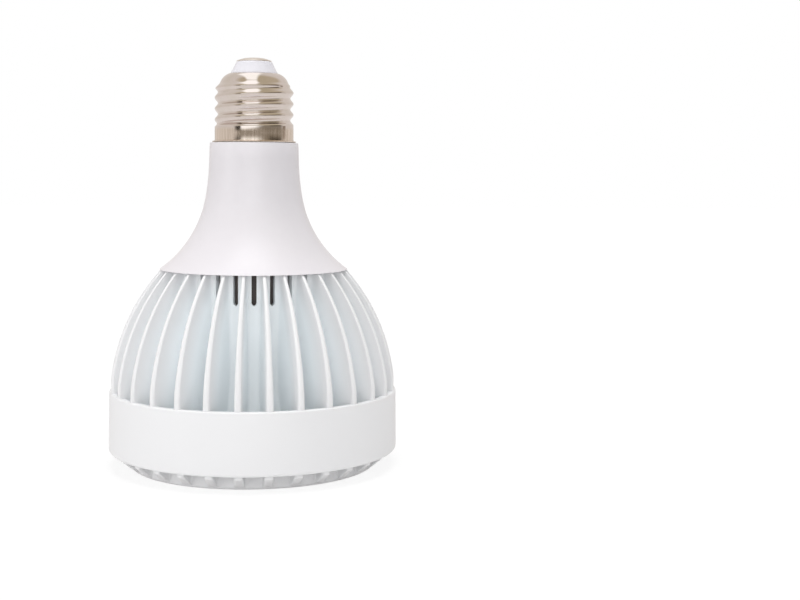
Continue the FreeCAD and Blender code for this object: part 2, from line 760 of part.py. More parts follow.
def transformer_core():
    """The ferrite core: two plates, two outer legs and a round post, with a window on each side."""
    body = new_body("transformer_core", y="bobbin_offset", z="core_level")
    block = sketch_on(body, "XY_Plane", height="-core_height / 2")
    draw_box(block, "-core_width / 2", "-core_depth / 2", "core_width / 2", "core_depth / 2")
    extrude(body, block, "core_height")
    window = sketch_on(body, "XZ_Plane")
    reach = "(core_width / 2 - core_leg)"
    draw_box(window, f"-{reach}", "-window_height / 2", reach, "window_height / 2")
    extrude(body, window, f"core_depth + {CUT_MARGIN}", "PartDesign::Pocket", both=True)
    post = sketch_on(body, "XY_Plane", height="-window_height / 2")
    draw_circle(post, "0", "0", "core_post_radius")
    extrude(body, post, "window_height")
    return body


def transformer_bobbin():
    """The transformer's spool, with feet that stand on the board."""
    body = new_body("transformer_bobbin", y="bobbin_offset", z="core_level")
    half = "(window_height / 2 - bobbin_play)"
    tube = "(core_post_radius + bobbin_play)"
    outline = sketch_on(body, "XZ_Plane")
    draw(outline, [(tube, f"-{half}"), ("bobbin_flange_radius", f"-{half}"),
                   ("bobbin_flange_radius", f"-{half} + bobbin_wall"),
                   (f"{tube} + bobbin_wall", f"-{half} + bobbin_wall"),
                   (f"{tube} + bobbin_wall", f"{half} - bobbin_wall"),
                   ("bobbin_flange_radius", f"{half} - bobbin_wall"),
                   ("bobbin_flange_radius", half), (tube, half)])
    turned(body, outline)
    for low in (f"-{half}", f"{half} - bobbin_wall"):
        foot = sketch_on(body, "XY_Plane", height=low)
        draw_box(foot, "-bobbin_foot_width / 2", "-bobbin_flange_radius - bobbin_foot",
                 "bobbin_foot_width / 2", "-bobbin_foot_width / 2")
        extrude(body, foot, "bobbin_wall")
    return body


def spool_winding(label, inner, outer, low, high, axis, x="0", y="0", z="0"):
    """A closed ring of wire on a spool."""
    body = new_body(label, x, y, z)
    upright = axis == "Z_Axis"
    outline = sketch_on(body, "XZ_Plane" if upright else "XY_Plane")
    draw_box(outline, inner, low, outer, high)
    turned(body, outline, axis=axis)
    return body


def transformer_winding():
    """The transformer's windings between the spool's flanges."""
    half = "(window_height / 2 - bobbin_play - bobbin_wall - winding_play)"
    inner = "core_post_radius + bobbin_play + bobbin_wall + winding_play"
    return spool_winding("transformer_winding", inner, "winding_radius", f"-{half}", half, "Z_Axis",
                         y="bobbin_offset", z="core_level")


def can(label, radius, length, x, z):
    """An upright electrolytic capacitor that leans on the back of the board, with its rolled groove."""
    body = new_body(label, x=x, y=f"board_back + {radius}", z=z)
    outline = sketch_on(body, "XZ_Plane")
    draw(outline, [("0", "0"), (radius, "0"), (radius, "can_groove_level"),
                   (f"{radius} - can_groove", "can_groove_level + can_groove"),
                   (radius, "can_groove_level + 2 * can_groove"), (radius, length), ("0", length)])
    turned(body, outline)
    return body


def input_capacitor():
    """The mains smoothing capacitor in the neck."""
    return can("input_capacitor", "input_can_radius", "input_can_length", "0", "input_can_level")


def output_capacitor():
    """The output smoothing capacitor beside the transformer."""
    return can("output_capacitor", "output_can_radius", "output_can_length",
               "output_can_offset", "output_can_level")


def block(label, x, z, width, depth, height, on_back):
    """A moulded component flat on the board."""
    face = "board_back" if on_back else "board_face"
    body = new_body(label, x=x, y=face, z=z)
    outline = sketch_on(body, "XZ_Plane")
    draw_box(outline, f"-{width} / 2", "0", f"{width} / 2", height)
    extrude(body, outline, depth, back=on_back)
    return body


def film_capacitor():
    """The boxed interference capacitor between transformer and smoothing capacitor."""
    body = block("film_capacitor", "0", "film_level", "film_width", "film_depth", "film_height", True)
    rounded(body, lambda edge: abs(edge.BoundBox.YLength - amount("film_depth")) < 0.01, "film_round")
    return body


def bridge_rectifier():
    """The bridge rectifier below the mains leads."""
    return block("bridge_rectifier", "rectifier_offset", "rectifier_level", "rectifier_width",
                 "rectifier_depth", "rectifier_height", False)


def output_diode():
    """The output rectifier diode."""
    return block("output_diode", "diode_offset", "diode_level", "diode_width", "diode_depth",
                 "diode_height", False)


def switching_transistor():
    """The switching transistor with its soldered tab."""
    body = block("switching_transistor", "transistor_offset", "transistor_level", "transistor_width",
                 "transistor_depth", "transistor_height", False)
    tab = sketch_on(body, "XZ_Plane")
    draw_box(tab, "-transistor_width / 2 + transistor_tab / 2", "transistor_height",
             "transistor_width / 2 - transistor_tab / 2", "transistor_height + transistor_tab")
    extrude(body, tab, "transistor_tab_thickness")
    return body


def controller_chip():
    """The controller in its eight-legged package."""
    body = block("controller_chip", "0", "chip_level", "chip_width", "chip_depth", "chip_height", False)
    for leg in range(SIZES["chip_leg_count"]):
        low = f"chip_height / 2 + ({leg} - (chip_leg_count - 1) / 2) * chip_leg_pitch - chip_leg_width / 2"
        legs = sketch_on(body, "XZ_Plane")
        reach = "chip_width / 2 + chip_leg_reach"
        draw_box(legs, f"-({reach})", low, reach, f"{low} + chip_leg_width")
        extrude(body, legs, "chip_leg_thickness")
    return body


def choke_core():
    """The filter choke's drum core, standing on the front of the board."""
    body = new_body("choke_core", x="choke_offset", y="board_face", z="choke_level")
    outline = sketch_on(body, "XY_Plane")
    draw(outline, [("0", "-choke_height"), ("choke_flange_radius", "-choke_height"),
                   ("choke_flange_radius", "-choke_height + choke_flange"),
                   ("choke_post_radius", "-choke_height + choke_flange"),
                   ("choke_post_radius", "-choke_flange"), ("choke_flange_radius", "-choke_flange"),
                   ("choke_flange_radius", "0"), ("0", "0")])
    turned(body, outline, axis="Y_Axis")
    return body


def choke_winding():
    """The choke's wire between its flanges."""
    return spool_winding("choke_winding", "choke_post_radius + winding_play", "choke_winding_radius",
                         "-choke_height + choke_flange + winding_play", "-choke_flange - winding_play",
                         "Y_Axis", x="choke_offset", y="board_face", z="choke_level")


def fuse_resistor():
    """The fusible resistor that lies across the top of the board."""
    body = new_body("fuse_resistor", x="fuse_offset", y="board_back + fuse_radius", z="fuse_level")
    outline = sketch_on(body, "XY_Plane")
    half = "fuse_length / 2"
    draw(outline, [(f"-{half}", "0"), (half, "0"), (half, "fuse_radius - fuse_round"),
                   (f"{half} - fuse_round", "fuse_radius", "fuse_round"),
                   (f"-{half} + fuse_round", "fuse_radius"),
                   (f"-{half}", "fuse_radius - fuse_round", "fuse_round")])
    turned(body, outline, axis="X_Axis")
    return body


def screw_shell():
    """The cap's metal shell: flared skirt, knuckle thread and rolled-in mouth."""
    body = new_body("screw_shell")
    wall = sketch_on(body, "XZ_Plane")
    inner_root = "thread_root - shell_wall"
    dome = "(shell_dome_width^2 + shell_dome^2) / (2 * shell_dome)"
    draw(wall, [("skirt_radius + skirt_flare", "neck_top"), ("skirt_radius", "neck_top + 2 * skirt_flare"),
                ("skirt_radius", "skirt_end"), ("thread_root", "skirt_end + thread_depth"),
                ("thread_root", "thread_top"), ("shell_collar_radius", "shell_collar_level"),
                ("shell_mouth", "shell_top", dome), ("shell_mouth", "shell_top - shell_wall"),
                ("shell_collar_radius - shell_wall", "shell_collar_level - shell_wall"),
                (inner_root, "thread_top - shell_wall"), (inner_root, "skirt_end + thread_depth"),
                ("skirt_radius - shell_wall", "skirt_end"),
                ("skirt_radius - shell_wall", "neck_top + 2 * skirt_flare"),
                ("skirt_radius + skirt_flare - shell_wall", "neck_top")])
    turned(body, wall)

    # The thread, wound up the shell from the skirt
    ridge = sketch_on(body, "XZ_Plane")
    middle = "(skirt_end + thread_rise)"
    inside = "thread_root - shell_wall / 2"
    draw(ridge, [(inside, f"{middle} - thread_foot / 2"), ("thread_root", f"{middle} - thread_foot / 2"),
                 ("skirt_radius", f"{middle} - thread_crest / 2"),
                 ("skirt_radius", f"{middle} + thread_crest / 2"),
                 ("thread_root", f"{middle} + thread_foot / 2"), (inside, f"{middle} + thread_foot / 2")])
    thread = body.newObject("PartDesign::AdditiveHelix", "shell_thread")
    thread.Profile = ridge
    thread.ReferenceAxis = (ridge, ["V_Axis"])
    thread.Mode = "pitch-turns-angle"
    tie(thread, "Pitch", "thread_pitch")
    tie(thread, "Turns", "thread_turns")
    return body


def new_shape(label, shape):
    """A sub-part whose shape comes from curves or surfaces."""
    feature = doc.addObject("Part::Feature", label)
    feature.Label = label
    feature.Shape = shape
    feature.Placement = FreeCAD.Placement()
    return feature


def contact_insulator():
    """The insulating cone between shell and contact, with a hole for the live lead."""
    body = new_body("contact_insulator")
    outline = sketch_on(body, "XZ_Plane")
    bore = "(stem_radius + insulator_play)"
    neck = "shell_mouth - insulator_play"
    base = "shell_collar_radius - 2 * insulator_play"
    shoulder = "shell_top - insulator_shoulder"
    seat = "contact_radius + insulator_play"
    draw(outline, [(bore, "insulator_base"), (base, "insulator_base"),
                   (base, "insulator_base + insulator_shoulder"),
                   (neck, shoulder), (neck, "shell_top"),
                   ("insulator_top_radius", "insulator_top", "-insulator_bend"),
                   (seat, "insulator_top"), (seat, "contact_seat"), (bore, "contact_seat")])
    turned(body, outline)
    return body


def centre_contact():
    """The metal eyelet on the cap's tip, with the stem that the live lead meets."""
    body = new_body("centre_contact")
    outline = sketch_on(body, "XZ_Plane")
    draw(outline, [("0", "contact_seat - stem_length"), ("stem_radius", "contact_seat - stem_length"),
                   ("stem_radius", "contact_seat"), ("contact_radius", "contact_seat"),
                   ("contact_radius", "contact_seat + contact_rim"),
                   ("contact_face_radius", "cap_top"), ("0", "cap_top")])
    turned(body, outline)
    return body


def lead(label, places):
    """A round wire along straight runs joined by arcs as large as the runs allow."""
    points = [FreeCAD.Vector(*(amount(place) for place in point)) for point in places]
    edges = []
    last = points[0]
    for before, corner, after in zip(points, points[1:], points[2:]):
        into, out = corner - before, after - corner
        half_turn = into.getAngle(out) / 2
        reach = BEND_SHARE * min(into.Length, out.Length)
        bend = reach / math.tan(half_turn)
        into.normalize()
        out.normalize()
        start, end = corner - into * reach, corner + out * reach
        inward = (out - into).normalize()
        middle = corner + inward * (bend / math.cos(half_turn) - bend)
        edges += [Part.LineSegment(last, start).toShape(), Part.Arc(start, middle, end).toShape()]
        last = end
    edges.append(Part.LineSegment(last, points[-1]).toShape())
    path = Part.Wire(edges)
    section = Part.Wire(Part.makeCircle(amount("wire_radius"), points[0], points[1] - points[0]))
    wire = path.makePipeShell([section], True, True)
    full = math.pi * amount("wire_radius") ** 2 * path.Length
    if abs(wire.Volume - full) > 0.01 * full:
        raise ValueError(f"{label}: volume {wire.Volume}, expected {full}")
    return new_shape(label, wire)


def mains_lead(label, side, last_places):
    """A lead that leaves the front of the board and runs up inside the collar."""
    x = f"{side}mains_lead_offset"
    y = "board_face - wire_radius"
    return lead(label, [(x, y, "mains_lead_start"), (x, y, "mains_lead_turn"), *last_places])


def live_lead():
    """From the board to the underside of the centre contact."""
    stem = "contact_seat - stem_length"
    return mains_lead("live_lead", "", [("0", "0", f"{stem} - live_end_run"), ("0", "0", stem)])


def neutral_lead():
    """From the board to the inside of the screw shell."""
    reach = "(skirt_radius - thread_depth - shell_wall - wire_radius - lead_end_gap)"
    slant = "sqrt(mains_lead_offset^2 + (board_face - wire_radius)^2)"
    return mains_lead("neutral_lead", "-", [(f"-mains_lead_offset * {reach} / {slant}",
                                             f"(board_face - wire_radius) * {reach} / {slant}",
                                             "neutral_end_level")])


def source_lead(label, side):
    """From the board through the floor to the edge of the light source's holder."""
    x = f"{side}source_lead_spacing / 2"
    front = "board_face - wire_radius"
    low = "floor_front - wire_radius - lead_end_gap"
    return lead(label, [(x, front, "source_lead_start"), (x, front, "source_lead_level"),
                        (x, "-wire_hole_offset", "source_lead_level"), (x, "-wire_hole_offset", low),
                        (x, "-holder_flat", low)])


def positive_lead():
    """The light source's supply lead."""
    return source_lead("positive_lead", "")


def negative_lead():
    """The light source's return lead."""
    return source_lead("negative_lead", "-")


SUB_PARTS = (
    heat_sink, lens_optic, lens_seal, thermal_pad, cob_substrate, cob_phosphor, cob_holder,
    holder_screws, housing_screws, neck_housing, driver_tub, driver_board, transformer_core,
    transformer_bobbin, transformer_winding, input_capacitor, output_capacitor, film_capacitor,
    bridge_rectifier, output_diode, switching_transistor, controller_chip, choke_core,
    choke_winding, fuse_resistor, screw_shell, contact_insulator, centre_contact, live_lead,
    neutral_lead, positive_lead, negative_lead,
)

# Build and write
nodes = [sub_part() for sub_part in SUB_PARTS]
doc.recompute()
for item in doc.Objects:
    if "Invalid" in item.State or "Error" in item.State:
        raise RuntimeError(f"{item.Label} failed: {item.getStatusString()}")
os.makedirs("parts", exist_ok=True)
for node in nodes:
    if node.Shape.isNull() or not node.Shape.isValid():
        raise RuntimeError(f"{node.Label} has no valid shape")
for node in nodes:
    node.Shape.exportStep(f"parts/{node.Label}.step")
    print(node.Label, len(node.Shape.Solids), "solids", round(node.Shape.Volume, 1), "mm3")
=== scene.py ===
import math

import bpy
from mathutils import Matrix, Vector


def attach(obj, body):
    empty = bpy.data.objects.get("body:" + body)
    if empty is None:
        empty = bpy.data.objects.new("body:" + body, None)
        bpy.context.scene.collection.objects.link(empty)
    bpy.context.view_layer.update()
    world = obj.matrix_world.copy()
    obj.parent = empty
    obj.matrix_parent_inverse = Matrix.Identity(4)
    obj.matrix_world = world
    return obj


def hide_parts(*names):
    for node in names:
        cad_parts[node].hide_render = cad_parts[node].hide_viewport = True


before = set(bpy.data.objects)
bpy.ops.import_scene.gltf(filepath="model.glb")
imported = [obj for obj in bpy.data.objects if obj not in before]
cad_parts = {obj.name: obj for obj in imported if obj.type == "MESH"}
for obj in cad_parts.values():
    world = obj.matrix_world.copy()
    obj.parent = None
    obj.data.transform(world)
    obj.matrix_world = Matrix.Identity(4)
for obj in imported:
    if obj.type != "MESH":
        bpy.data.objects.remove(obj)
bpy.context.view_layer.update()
mm = 0.001

# Heat sink
# One white powder-coated aluminium die casting: thirty drafted fins on a core that flares into the lens
# cup, tied by a rim band and the front ring. Its edges are rounded by the die and by the paint.

fin_count = 30
gap_turn = math.pi / fin_count
fin_half = 1.5 * mm
fin_draft = math.tan(math.radians(0.84))
foot_round = 1.0 * mm
edge_round = 0.85 * mm
core_radius = 27.6 * mm
core_bore = 25.0 * mm
core_edge = 0.6 * mm
flare_top = 38.0 * mm
flare_radius = 43.23 * mm
cup_radius = 46.23 * mm
cup_axis = 70.83 * mm
ring_radius = 40.7 * mm
ring_back = 7.0 * mm
ring_bore = 38.0 * mm
ring_foot = 1.0 * mm
lens_seat = 4.0 * mm
seat_bore = 36.2 * mm
rim_radius = 47.5 * mm
band_bore = 45.1 * mm
band_bore_top = 45.4 * mm
band_low = 5.3 * mm
band_top = 25.2 * mm
band_spread = 0.22 * mm
band_low_round = 1.2 * mm
band_top_round = 0.5 * mm
band_bore_round = 0.3 * mm
rib_low = 0.6 * mm
rib_slant = 1.3
crest_radius = 65.6 * mm
crest_level = 21.3 * mm
crest_inset = 0.45 * mm
dome_start = 24.0 * mm
slot_half = 0.775 * mm
slot_end = 56.175 * mm
slot_turn_limit = 0.08
floor_front = 30.0 * mm
floor_back = 34.0 * mm
sink_top = 65.2 * mm
screw_circle = 21.6 * mm
screw_bore = 1.65 * mm
lead_hole_place = 20.4 * mm
lead_hole_radius = 1.9 * mm
holder_screw_place = 14.2 * mm
holder_screw_bore = 1.05 * mm


class Link:
    """A socket of one material's nodes; arithmetic on it adds Math nodes."""

    def __init__(self, tree, socket=None):
        self.tree = tree
        self.socket = socket

    def node(self, kind, settings=None, values=None, output=0):
        """Add a node: its settings first, then its sockets' values or links."""
        made = self.tree.nodes.new("ShaderNode" + kind)
        for name, setting in (settings or {}).items():
            setattr(made, name, setting)
        for name, value in (values or {}).items():
            if isinstance(value, Link):
                self.tree.links.new(value.socket, made.inputs[name])
            else:
                made.inputs[name].default_value = value
        return Link(self.tree, made.outputs[output])

    def other(self, output):
        """Another output of the same node."""
        return Link(self.tree, self.socket.node.outputs[output])

    def maths(self, operation, *values):
        """A Math node on this material's values."""
        return self.node("Math", {"operation": operation}, dict(enumerate(values)))

    def __add__(self, other):
        return self.maths("ADD", self, other)

    def __radd__(self, other):
        return self.maths("ADD", other, self)

    def __sub__(self, other):
        return self.maths("SUBTRACT", self, other)

    def __rsub__(self, other):
        return self.maths("SUBTRACT", other, self)

    def __mul__(self, other):
        return self.maths("MULTIPLY", self, other)

    def __rmul__(self, other):
        return self.maths("MULTIPLY", other, self)

    def between(self, low, high):
        """0 below low, 1 above high and even in between."""
        return self.node("MapRange", {}, {"Value": self, "From Min": low, "From Max": high})


def place_on(surface):
    """The point on the piece, in metres from the middle of the front ring's lowest plane."""
    return surface.node("TexCoord", output="Object")


def radius_of(surface, point):
    """The point's distance from the bulb's axis."""
    across = surface.node("VectorMath", {"operation": "MULTIPLY"}, {0: point, 1: (1, 1, 0)})
    return surface.node("VectorMath", {"operation": "LENGTH"}, {0: across}, output="Value")


def height_of(surface, point):
    """The point's height above the front ring's lowest plane."""
    return surface.node("SeparateXYZ", {}, {"Vector": point}, output="Z")


def new_finish(name, roughness, metallic=0.0, **constant):
    """A material with one principled shader; constants such as coat or specular are set on its sockets."""
    material = bpy.data.materials.new(name)
    material.use_nodes = True
    shader = material.node_tree.nodes["Principled BSDF"]
    shader.inputs["Roughness"].default_value = roughness
    shader.inputs["Metallic"].default_value = metallic
    for socket, value in constant.items():
        shader.inputs[socket.replace("_", " ").title().replace("Ior", "IOR")].default_value = value
    return material, Link(material.node_tree), shader


def mix_colours(surface, mask, first, second):
    """The first colour where the mask is 0 and the second where it is 1."""
    return surface.node("Mix", {"data_type": "RGBA"}, {0: mask, 6: first, 7: second}, output=2)


def join(surface, socket, value):
    """Link a value into a socket of the shader."""
    surface.tree.links.new(value.socket, socket)


def orange_peel(surface, shader, point, size, depth):
    """The fine waviness that sprayed or moulded surfaces have."""
    waves = surface.node("TexNoise", {}, {"Vector": point, "Scale": 1 / size, "Detail": 3.0})
    bump = surface.node("Bump", {}, {"Strength": 1.0, "Distance": depth, "Height": waves})
    join(surface, shader.inputs["Normal"], bump)
    return waves


def coat_casting():
    """White powder coat with painted light: lighter and cooler deep in the gaps between the fins, where
    bounced light is painted into the colour.
    """
    material, surface, shader = new_finish("powder_coat", 0.42, coat_weight=0.15, coat_roughness=0.25)
    point = place_on(surface)
    radius = radius_of(surface, point)
    height = height_of(surface, point)
    drop = surface.maths("MAXIMUM", height - crest_level, 0.0)
    crest = surface.maths("SQRT", crest_radius ** 2 - drop * drop) + (rim_radius - crest_radius)
    # Painted light: deeper below the fins' edges the colour turns lighter and cooler to stand for bounced
    # light; the ribs below the band keep the plain white.
    depth = (crest - radius).between(0.8 * mm, 8 * mm)
    above_ribs = height.between(4.6 * mm, 5.6 * mm)
    white = (0.745, 0.745, 0.755, 1)
    painted_gap_light = (0.94, 0.98, 1.0, 1)
    join(surface, shader.inputs["Base Color"], mix_colours(surface, depth * above_ribs, white, painted_gap_light))
    orange_peel(surface, shader, point, 1.2 * mm, 0.02 * mm)
    return material


def pick(piece):
    """Make one piece the only selected one and the active one."""
    bpy.ops.object.select_all(action="DESELECT")
    bpy.context.view_layer.objects.active = piece
    piece.select_set(True)


def finish_piece(piece, material, slot, *nodes, smooth=30):
    """Shade a piece, give it its material, hang it under the root body and hide the imported nodes that it
    replaces.
    """
    pick(piece)
    bpy.ops.object.shade_smooth_by_angle(angle=math.radians(smooth))
    piece.data.materials.clear()
    piece.data.materials.append(material)
    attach(piece, "root")
    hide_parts(*nodes)


def lathe(name, outline, sides=128, closed=True):
    """A piece turned about the bulb's axis: a circle extruded and resized from corner to corner.

    A closed outline is bridged back to its first corner. One that ends on the axis gets a flat face
    over its first circle instead."""
    bpy.ops.object.select_all(action="DESELECT")
    (radius, height), *corners = outline
    bpy.ops.mesh.primitive_circle_add(vertices=sides, radius=radius, location=(0, 0, 0))
    piece = bpy.context.object
    piece.name = name
    bpy.ops.object.mode_set(mode="EDIT")
    bpy.ops.mesh.select_all(action="SELECT")
    bpy.ops.transform.translate(value=(0, 0, height))
    for new_radius, new_height in corners:
        bpy.ops.mesh.extrude_region_move(TRANSFORM_OT_translate={"value": (0, 0, new_height - height)})
        if new_radius:
            bpy.ops.transform.resize(value=(new_radius / radius, new_radius / radius, 1))
        else:
            bpy.ops.mesh.merge(type="CENTER")
        radius, height = new_radius, new_height
    bpy.ops.mesh.select_all(action="DESELECT")
    if closed:
        bpy.ops.mesh.select_non_manifold()
        if radius:
            bpy.ops.mesh.bridge_edge_loops()
        else:
            bpy.ops.mesh.edge_face_add()
    bpy.ops.mesh.select_all(action="SELECT")
    bpy.ops.mesh.normals_make_consistent(inside=False)
    bpy.ops.object.mode_set(mode="OBJECT")
    return piece


def quarter(centre, radius, start, steps=4, turn=90):
    """Points along an arc of a lathe's outline, a quarter turn unless told otherwise."""
    across, up = centre
    angles = [math.radians(start + turn * step / steps) for step in range(steps + 1)]
    return [(across + radius * math.cos(angle), up + radius * math.sin(angle)) for angle in angles]


def skin_radius(height):
    """Radius of the ring, the flared cup and the core between the fins."""
    if height <= ring_back:
        return ring_radius
    below = max(0, flare_top - height)
    return core_radius + flare_radius - math.sqrt(flare_radius ** 2 - below ** 2)


def crest_at(height):
    """Radius of the fins' outer edge: slanted below the band, inside it, then along the dome."""
    if height < dome_start:
        return min(ring_radius + (height - rib_low) * rib_slant, band_bore + 0.1 * mm)
    dome = rim_radius - crest_radius + math.sqrt(crest_radius ** 2 - (height - crest_level) ** 2)
    return min(dome, rim_radius - crest_inset)


def fin_section(height, cut=0):
    """Half a fin and half of its gap at one height, as 15 points from the fin's middle to the gap's."""
    # The fin's tip, its rounded edge and its flank.
    root = skin_radius(height)
    reach = max(crest_at(height) - cut - root, 0)
    half = fin_half - height * fin_draft
    share = min(1, reach / (foot_round + edge_round + 0.1 * mm))
    foot = foot_round * share
    edge = min(edge_round * share, half * 0.92)
    points = [(root + reach, 0), *quarter((root + reach - edge, half - edge), edge, 0, 3)]
    middle = math.sqrt((root + foot) ** 2 - (half + foot) ** 2)
    points.append(((points[-1][0] + middle) / 2, half))

    # The fillet at its foot, then the skin with the slot's edge.
    lean = math.degrees(math.atan2(half + foot, middle))
    points += quarter((middle, half + foot), foot, -90, 4, lean - 90)
    edge_turn = gap_turn - math.asin(slot_half / root)
    for turn in ((math.radians(lean) + edge_turn) / 2, edge_turn, (edge_turn + gap_turn) / 2, gap_turn):
        points.append((root * math.cos(turn), root * math.sin(turn)))
    return [(across, aside, height) for across, aside in points]


def round_section(radius, height):
    """The same half sector as 15 points along a plain circle, with the slot's edge among them."""
    edge_turn = gap_turn - math.asin(min(slot_half / max(radius, slot_half), slot_turn_limit))
    turns = [edge_turn * step / 12 for step in range(13)] + [(edge_turn + gap_turn) / 2, gap_turn]
    return [(radius * math.cos(turn), radius * math.sin(turn), height) for turn in turns]


def press_row(points):
    """Mirror half a section and turn it so that its gap faces the front."""
    left = [Matrix.Rotation(-gap_turn - math.pi / 2, 3, "Z") @ Vector(point) for point in points]
    right = [Vector((-point.x, point.y, point.z)) for point in left]
    return left + right[-2::-1]


# The sections from the cup's floor over the front ring, up the fins, and down the core's bore. They stand
# closer where the feet, the band and the slots bend the shape.
cup_levels = [level * mm for level in (27, 24, 21, 18, 15, 12, 9.5, 7.37)]
cup_rows = [round_section(radius, height) for radius, height in (
    (0, floor_front), (12 * mm, floor_front), (25.3 * mm, floor_front),
    *((cup_axis - math.sqrt(cup_radius ** 2 - (flare_top - level) ** 2), level) for level in cup_levels),
    (seat_bore, lens_seat), (ring_bore, lens_seat),
    *quarter((ring_bore + 0.3 * mm, 0.3 * mm), 0.3 * mm, 180, 3),
    *quarter((ring_radius - ring_foot, ring_foot), ring_foot, -90, 4))]
fin_levels = [1.05, 1.35, 1.8, 2.4, 3.1, 3.75, 4.05, 5.0, 6.2, 7, 9, 12, 16, 20, 23.9, 24.2,
              *(25.4 + 1.5 * step for step in range(20)), 54.9]
slot_levels = [slot_end, *(level * mm for level in (57.8, 59.4, 61, 62.6, 63.8, 64.6))]
top_rows = [(sink_top - (1 - math.sin(angle)) * core_edge, (1 - math.cos(angle)) * core_edge)
            for angle in (math.radians(18 * step) for step in range(1, 6))]
outer_rows = [fin_section(level * mm) for level in fin_levels]
outer_rows += [fin_section(level) for level in slot_levels]
outer_rows += [fin_section(level, cut) for level, cut in top_rows]
bore_rows = [round_section(core_bore, level) for level, cut in reversed(top_rows)]
bore_rows += [round_section(core_bore, level) for level in reversed(slot_levels)]
floor_rows = [round_section(radius, height) for radius, height in (
    (core_bore, 54.9 * mm), (core_bore, 45 * mm), (core_bore, floor_back), (12 * mm, floor_back),
    (0, floor_back))]
rows = [press_row(row) for row in cup_rows + outer_rows + bore_rows + floor_rows]
top_row = len(cup_rows) + len(outer_rows) - 1
slot_rows = len(slot_levels) + len(top_rows)
columns = len(rows[0]) - 1
slot_columns = range(12, 16)

bpy.ops.object.select_all(action="DESELECT")
bpy.ops.mesh.primitive_grid_add(x_subdivisions=columns, y_subdivisions=len(rows) - 1)
casting = bpy.context.object
casting.name = "finned_casting"
for vertex, place in zip(casting.data.vertices, (place for row in rows for place in row)):
    vertex.co = place

# The slot's lower end is rounded.
for row in (top_row - slot_rows + 1, top_row + slot_rows):
    for column, drop in ((13, 0.866), (14, 1), (15, 0.866)):
        casting.data.vertices[row * (columns + 1) + column].co.z -= slot_half * drop

# The slot and the core's open top are cut out. Then the slot's walls and the fin halves' tops are closed.
bpy.ops.object.mode_set(mode="EDIT")
bpy.ops.mesh.select_all(action="DESELECT")
bpy.ops.object.mode_set(mode="OBJECT")
for face in casting.data.polygons:
    row, column = divmod(face.index, columns)
    in_slot = top_row - slot_rows < row < top_row + slot_rows and column in slot_columns
    face.select = in_slot or row == top_row
bpy.ops.object.mode_set(mode="EDIT")
bpy.ops.mesh.select_mode(type="FACE")
bpy.ops.mesh.delete(type="FACE")
bpy.ops.mesh.select_mode(type="EDGE")
bpy.ops.mesh.select_non_manifold()
bpy.ops.object.mode_set(mode="OBJECT")
for edge in casting.data.edges:
    ends = [casting.data.vertices[number].co for number in edge.vertices]
    at_slot = all(abs(end.x) < slot_half * 1.01 and end.z > slot_end - 2 * mm for end in ends)
    edge.select = edge.select and at_slot
bpy.ops.object.mode_set(mode="EDIT")
bpy.ops.mesh.bridge_edge_loops()
bpy.ops.mesh.select_mode(type="VERT")
for side in (-1, 1):
    bpy.ops.mesh.select_all(action="DESELECT")
    bpy.ops.object.mode_set(mode="OBJECT")
    for vertex in casting.data.vertices:
        vertex.select = vertex.co.z > sink_top - 0.001 * mm and vertex.co.x * side > 0
    bpy.ops.object.mode_set(mode="EDIT")
    bpy.ops.mesh.edge_face_add()

# One sector is spun into all thirty.
bpy.ops.mesh.select_all(action="SELECT")
bpy.ops.mesh.spin(steps=fin_count - 1, dupli=True, angle=2 * gap_turn * (fin_count - 1),
                  center=(0, 0, 0), axis=(0, 0, 1))
bpy.ops.mesh.select_all(action="SELECT")
bpy.ops.mesh.remove_doubles(threshold=0.004 * mm)
bpy.ops.mesh.normals_make_consistent(inside=False)
bpy.ops.object.mode_set(mode="OBJECT")

# Holes through the cup's floor: three housing screws, the leads and two holder screws.
holes = [(screw_circle * math.cos(turn), screw_circle * math.sin(turn), screw_bore)
         for turn in (math.radians(90), math.radians(210), math.radians(330))]
holes.append((0, -lead_hole_place, lead_hole_radius))
holes += [(side * holder_screw_place, 0, holder_screw_bore) for side in (1, -1)]
floor_middle = (floor_front + floor_back) / 2
for across, aside, radius in holes:
    bpy.ops.mesh.primitive_cylinder_add(vertices=24, radius=radius, depth=6 * mm,
                                        location=(across, aside, floor_middle))
    drill = bpy.context.object
    pick(casting)
    bpy.ops.object.modifier_add(type="BOOLEAN")
    casting.modifiers["Boolean"].object = drill
    casting.modifiers["Boolean"].solver = "EXACT"
    bpy.ops.object.modifier_apply(modifier="Boolean")
    bpy.data.objects.remove(drill)

spread_radius = rim_radius + band_spread
band = lathe("rim_band", [
    (band_bore, band_low + band_bore_round), (band_bore + band_bore_round, band_low),
    *quarter((spread_radius - band_low_round, band_low + band_low_round), band_low_round, -90, 6),
    *quarter((rim_radius - band_top_round, band_top - band_top_round), band_top_round, 0, 5),
    *quarter((band_bore_top + band_bore_round, band_top - band_bore_round), band_bore_round, 90, 3)],
    sides=240)
pick(casting)
band.select_set(True)
bpy.ops.object.join()
finish_piece(casting, coat_casting(), "heat_sink", "heat_sink")

# Light source
# A chip-on-board source: a square aluminium plate with a yellow phosphor disc, on a grey thermal pad,
# clamped to the cup's floor by a white ring and two countersunk screws.


def plain_finish(name, colour, roughness, size, metallic=0.0, spread=0.06, **constant):
    """One colour that varies a little, with the fine unevenness of the surface."""
    material, surface, shader = new_finish(name, roughness, metallic, **constant)
    noise = orange_peel(surface, shader, place_on(surface), size, size * 0.02)
    darker = tuple(channel * (1 - spread) for channel in colour)
    tint = mix_colours(surface, noise, (*colour, 1), (*darker, 1))
    join(surface, shader.inputs["Base Color"], tint)
    join(surface, shader.inputs["Roughness"], noise * 0.1 + (roughness - 0.05))
    return material


def refinish(material, *nodes):
    """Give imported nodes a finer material."""
    for name in nodes:
        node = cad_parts[name]
        for slot in node.material_slots:
            slot.material = material


